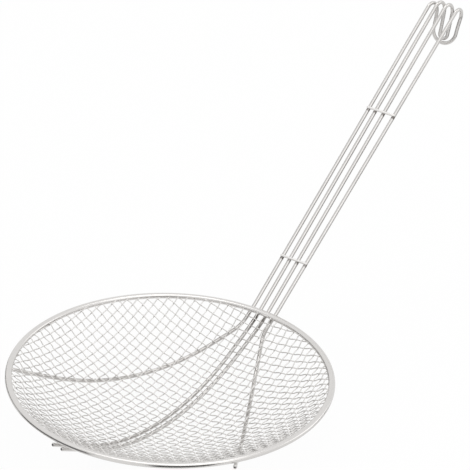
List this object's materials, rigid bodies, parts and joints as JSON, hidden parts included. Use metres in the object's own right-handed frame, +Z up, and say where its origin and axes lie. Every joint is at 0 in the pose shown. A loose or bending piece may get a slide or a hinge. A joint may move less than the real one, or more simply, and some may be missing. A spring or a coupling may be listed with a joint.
{
  "type": "wire mesh skimmer",
  "caption": "Round shallow skimmer of woven steel wire in a folded rim, on a long wire handle that ends in a hanging hook.",
  "frame": {"origin": "middle of the whole footprint, level with the lowest point of the ribs under the bowl", "axes": "+Z up out of the bowl with the rim level, +X along the handle towards the hook, Y across the handle"},
  "size_m": [0.5152, 0.25, 0.2166],
  "materials": {
    "rim_steel": "bright, smooth",
    "frame_wire_steel": "bright, drawn along the wire",
    "mesh_wire_steel": "bright drawn wire"
  },
  "bodies": {
    "root": {"rim": "rim_steel", "outer_frame_wire": "frame_wire_steel", "inner_frame_wire": "frame_wire_steel", "lower_cross_bar": "frame_wire_steel", "upper_cross_bar": "frame_wire_steel", "mesh_wire_across_01": "mesh_wire_steel", "mesh_wire_across_02": "mesh_wire_steel", "mesh_wire_across_03": "mesh_wire_steel", "mesh_wire_across_04": "mesh_wire_steel", "mesh_wire_across_05": "mesh_wire_steel", "mesh_wire_across_06": "mesh_wire_steel", "mesh_wire_across_07": "mesh_wire_steel", "mesh_wire_across_08": "mesh_wire_steel", "mesh_wire_across_09": "mesh_wire_steel", "mesh_wire_across_10": "mesh_wire_steel", "mesh_wire_across_11": "mesh_wire_steel", "mesh_wire_across_12": "mesh_wire_steel", "mesh_wire_across_13": "mesh_wire_steel", "mesh_wire_across_14": "mesh_wire_steel", "mesh_wire_across_15": "mesh_wire_steel", "mesh_wire_across_16": "mesh_wire_steel", "mesh_wire_across_17": "mesh_wire_steel", "mesh_wire_across_18": "mesh_wire_steel", "mesh_wire_across_19": "mesh_wire_steel", "mesh_wire_along_01": "mesh_wire_steel", "mesh_wire_along_02": "mesh_wire_steel", "mesh_wire_along_03": "mesh_wire_steel", "mesh_wire_along_04": "mesh_wire_steel", "mesh_wire_along_05": "mesh_wire_steel", "mesh_wire_along_06": "mesh_wire_steel", "mesh_wire_along_07": "mesh_wire_steel", "mesh_wire_along_08": "mesh_wire_steel", "mesh_wire_along_09": "mesh_wire_steel", "mesh_wire_along_10": "mesh_wire_steel", "mesh_wire_along_11": "mesh_wire_steel", "mesh_wire_along_12": "mesh_wire_steel", "mesh_wire_along_13": "mesh_wire_steel", "mesh_wire_along_14": "mesh_wire_steel", "mesh_wire_along_15": "mesh_wire_steel", "mesh_wire_along_16": "mesh_wire_steel", "mesh_wire_along_17": "mesh_wire_steel", "mesh_wire_along_18": "mesh_wire_steel", "mesh_wire_along_19": "mesh_wire_steel"}
  },
  "joints": []
}
